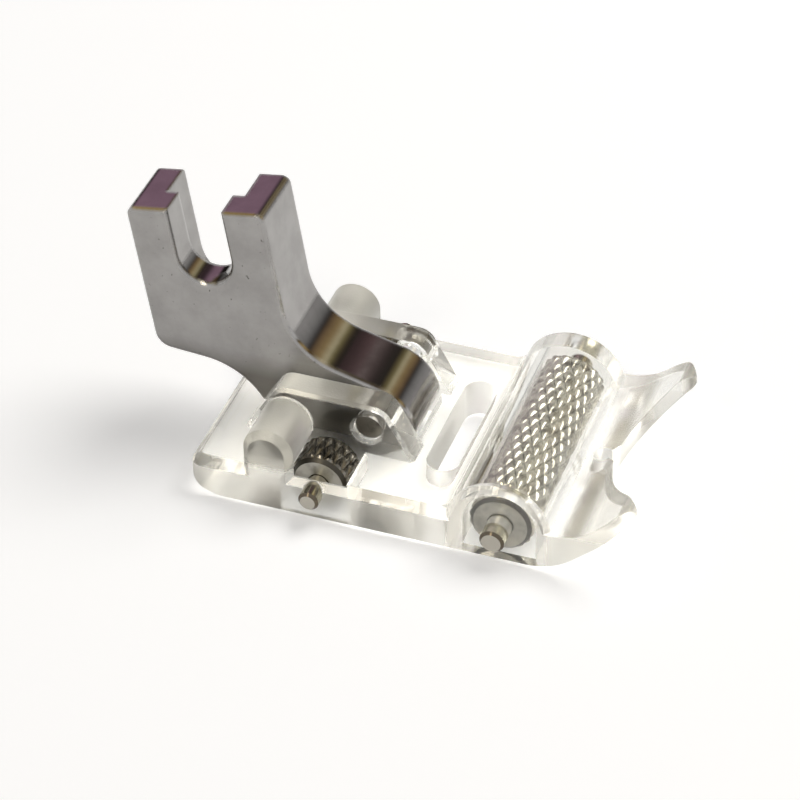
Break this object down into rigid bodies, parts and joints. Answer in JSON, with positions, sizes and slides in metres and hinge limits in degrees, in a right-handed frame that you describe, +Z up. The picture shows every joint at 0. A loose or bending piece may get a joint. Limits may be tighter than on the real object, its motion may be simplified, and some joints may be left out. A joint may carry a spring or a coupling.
{
  "type": "roller presser foot",
  "caption": "Sewing machine presser foot with a clear base, a long knurled front roller and small rear rollers, hinged to a plated forked shank.",
  "frame": {"origin": "on the ground under the middle of the box, which the rollers stand on", "axes": "+X forward along the feed to the toes, +Y across the feed to the right-hand side, +Z up"},
  "size_m": [0.0386, 0.0212, 0.0199],
  "materials": {
    "clear_plastic": "clear moulded acrylic, polished",
    "plated_metal": "nickel plate over die casting, satin sides",
    "roller_steel": "bright steel with a diamond knurl",
    "pin_steel": "drawn steel rod, cut ends"
  },
  "bodies": {
    "base": {"foot_base": "clear_plastic", "hinge_pin": "pin_steel", "front_axle": "pin_steel", "rear_axle_left": "pin_steel", "rear_axle_right": "pin_steel"},
    "shank": {"shank": "plated_metal"},
    "front_roller": {"front_roller": "roller_steel"},
    "rear_roller_left": {"rear_roller_left": "roller_steel"},
    "rear_roller_right": {"rear_roller_right": "roller_steel"}
  },
  "joints": [
    {"name": "shank_tilt", "type": "hinge", "parent": "base", "child": "shank", "pos_m": [-0.00098, 0, 0.00515], "axis": [0, 1, 0], "range_deg": [0, 22]},
    {"name": "front_roller_spin", "type": "hinge", "parent": "base", "child": "front_roller", "pos_m": [0.00996, 0, 0.00235], "axis": [0, 1, 0], "continuous": true},
    {"name": "rear_roller_left_spin", "type": "hinge", "parent": "base", "child": "rear_roller_left", "pos_m": [-0.00344, -0.00677, 0.0022], "axis": [0, 1, 0], "continuous": true},
    {"name": "rear_roller_right_spin", "type": "hinge", "parent": "base", "child": "rear_roller_right", "pos_m": [-0.00344, 0.00677, 0.0022], "axis": [0, 1, 0], "continuous": true}
  ]
}
